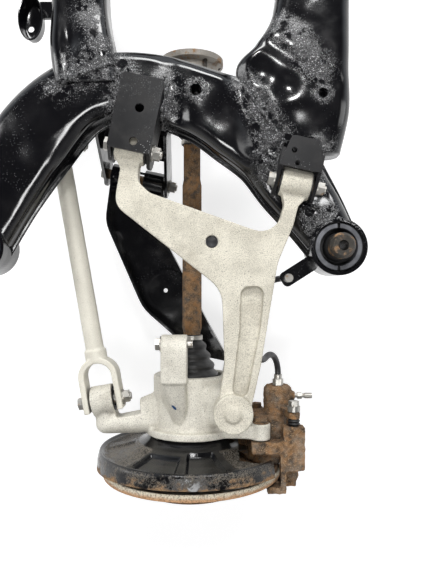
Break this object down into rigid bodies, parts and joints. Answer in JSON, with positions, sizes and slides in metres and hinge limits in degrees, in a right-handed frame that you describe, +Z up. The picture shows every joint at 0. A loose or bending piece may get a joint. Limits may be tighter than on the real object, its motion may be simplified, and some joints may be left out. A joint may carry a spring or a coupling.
{
  "type": "rear suspension subframe",
  "caption": "Welded box-section rear subframe with rubber body mounts, carrying a cast upper wishbone, wheel carrier, radius rod, spring link, half shaft and disc brake on its left side.",
  "frame": {"origin": "middle of the four body mounts, on the plane of their upper faces", "axes": "+X towards the rear of the car, +Y towards its right-hand side, +Z up"},
  "size_m": [0.6249, 1.2535, 0.312],
  "materials": {
    "black_paint": "gloss black paint over pressed steel, speckled at the welds",
    "cast_alloy": "grainy as cast, dull with dirt",
    "zinc": "dull zinc plate",
    "bare_steel": "bare steel with light rust",
    "rubber": "matt black, dusty",
    "rusty_iron": "surface rust, bright where the pads sweep"
  },
  "bodies": {
    "subframe": {"side_rail_left": "black_paint", "side_rail_right": "black_paint", "front_cross_member": "black_paint", "rear_cross_member": "black_paint", "arm_bracket_front_left": "black_paint", "arm_bracket_front_right": "black_paint", "arm_bracket_rear_left": "black_paint", "arm_bracket_rear_right": "black_paint", "link_bracket_left": "black_paint", "link_bracket_right": "black_paint", "rod_bracket_left": "black_paint", "rod_bracket_right": "black_paint", "hanger_bracket": "black_paint", "mount_sleeves": "bare_steel", "mount_rubbers": "rubber", "pivot_bolts": "zinc", "pivot_nuts": "zinc", "pivot_sleeves": "zinc", "hose_tab": "black_paint", "hose_end": "zinc"},
    "upper_arm": {"upper_arm": "cast_alloy", "upper_arm_bushes": "rubber", "ball_joint_cap": "cast_alloy", "brake_hose": "rubber", "hose_clip": "zinc"},
    "knuckle": {"knuckle": "cast_alloy", "ball_stud": "zinc", "knuckle_link_bush": "rubber", "knuckle_rod_bush": "rubber", "shock_bolt": "zinc", "wheel_bearing": "zinc", "splash_shield": "black_paint", "shield_screws": "zinc", "caliper_carrier": "rusty_iron", "carrier_bolts": "rusty_iron", "caliper_body": "rusty_iron", "brake_pads": "rusty_iron", "guide_pins": "zinc", "guide_boots": "rubber", "bleed_screw": "zinc", "hose_fittings": "zinc"},
    "hub": {"hub_flange": "rusty_iron", "brake_disc": "rusty_iron", "outer_joint_bell": "rusty_iron", "axle_nut": "zinc"},
    "shaft_carrier": {"outer_boot": "rubber", "inner_boot": "rubber"},
    "half_shaft": {"shaft_bar": "rusty_iron", "boot_clamps": "zinc", "inner_joint_housing": "rusty_iron"},
    "spring_link": {"spring_link": "black_paint", "spring_link_bushes": "rubber", "link_outer_bolt": "zinc", "link_outer_nut": "zinc"},
    "radius_rod": {"radius_rod": "cast_alloy", "rod_inner_bush": "rubber", "rod_ball": "zinc", "rod_fork_bolt": "zinc", "rod_fork_nut": "zinc"}
  },
  "joints": [
    {"name": "suspension_travel", "type": "hinge", "parent": "subframe", "child": "upper_arm", "pos_m": [-0.036, -0.258, -0.02], "axis": [-0.9781, 0.2079, 0], "range_deg": [-8, 8], "deforming": ["brake_hose"]},
    {"name": "knuckle_follow", "type": "hinge", "parent": "upper_arm", "child": "knuckle", "pos_m": [0.11215, -0.64322, -0.02], "axis": [-0.9781, 0.2079, 0], "range_deg": [-9, 9], "deforming": ["brake_hose"]},
    {"name": "spring_link_follow", "type": "hinge", "parent": "subframe", "child": "spring_link", "pos_m": [-0.0568, -0.26102, -0.24], "axis": [-0.9781, 0.2079, 0], "range_deg": [-9, 9]},
    {"name": "radius_rod_follow", "type": "hinge", "parent": "subframe", "child": "radius_rod", "pos_m": [-0.172, -0.218, -0.12], "axis": [-0.9781, 0.2079, 0], "range_deg": [-9, 9]},
    {"name": "hub_spin", "type": "hinge", "parent": "knuckle", "child": "hub", "pos_m": [0.047, -0.792, -0.138], "axis": [0, 1, 0], "continuous": true},
    {"name": "shaft_swing", "type": "hinge", "parent": "knuckle", "child": "shaft_carrier", "pos_m": [0.047, -0.64, -0.138], "axis": [-1, 0, 0], "range_deg": [-9, 9], "deforming": ["outer_boot", "inner_boot"]},
    {"name": "shaft_spin", "type": "hinge", "parent": "shaft_carrier", "child": "half_shaft", "pos_m": [0.047, -0.64, -0.138], "axis": [0, 1, 0], "continuous": true}
  ],
  "couplings": [
    {"joint": "knuckle_follow", "follows": "suspension_travel", "ratio": -1},
    {"joint": "spring_link_follow", "follows": "suspension_travel", "ratio": 1},
    {"joint": "radius_rod_follow", "follows": "suspension_travel", "ratio": 0.8605},
    {"joint": "shaft_swing", "follows": "suspension_travel", "ratio": 0.692},
    {"joint": "shaft_spin", "follows": "hub_spin", "ratio": 1}
  ]
}
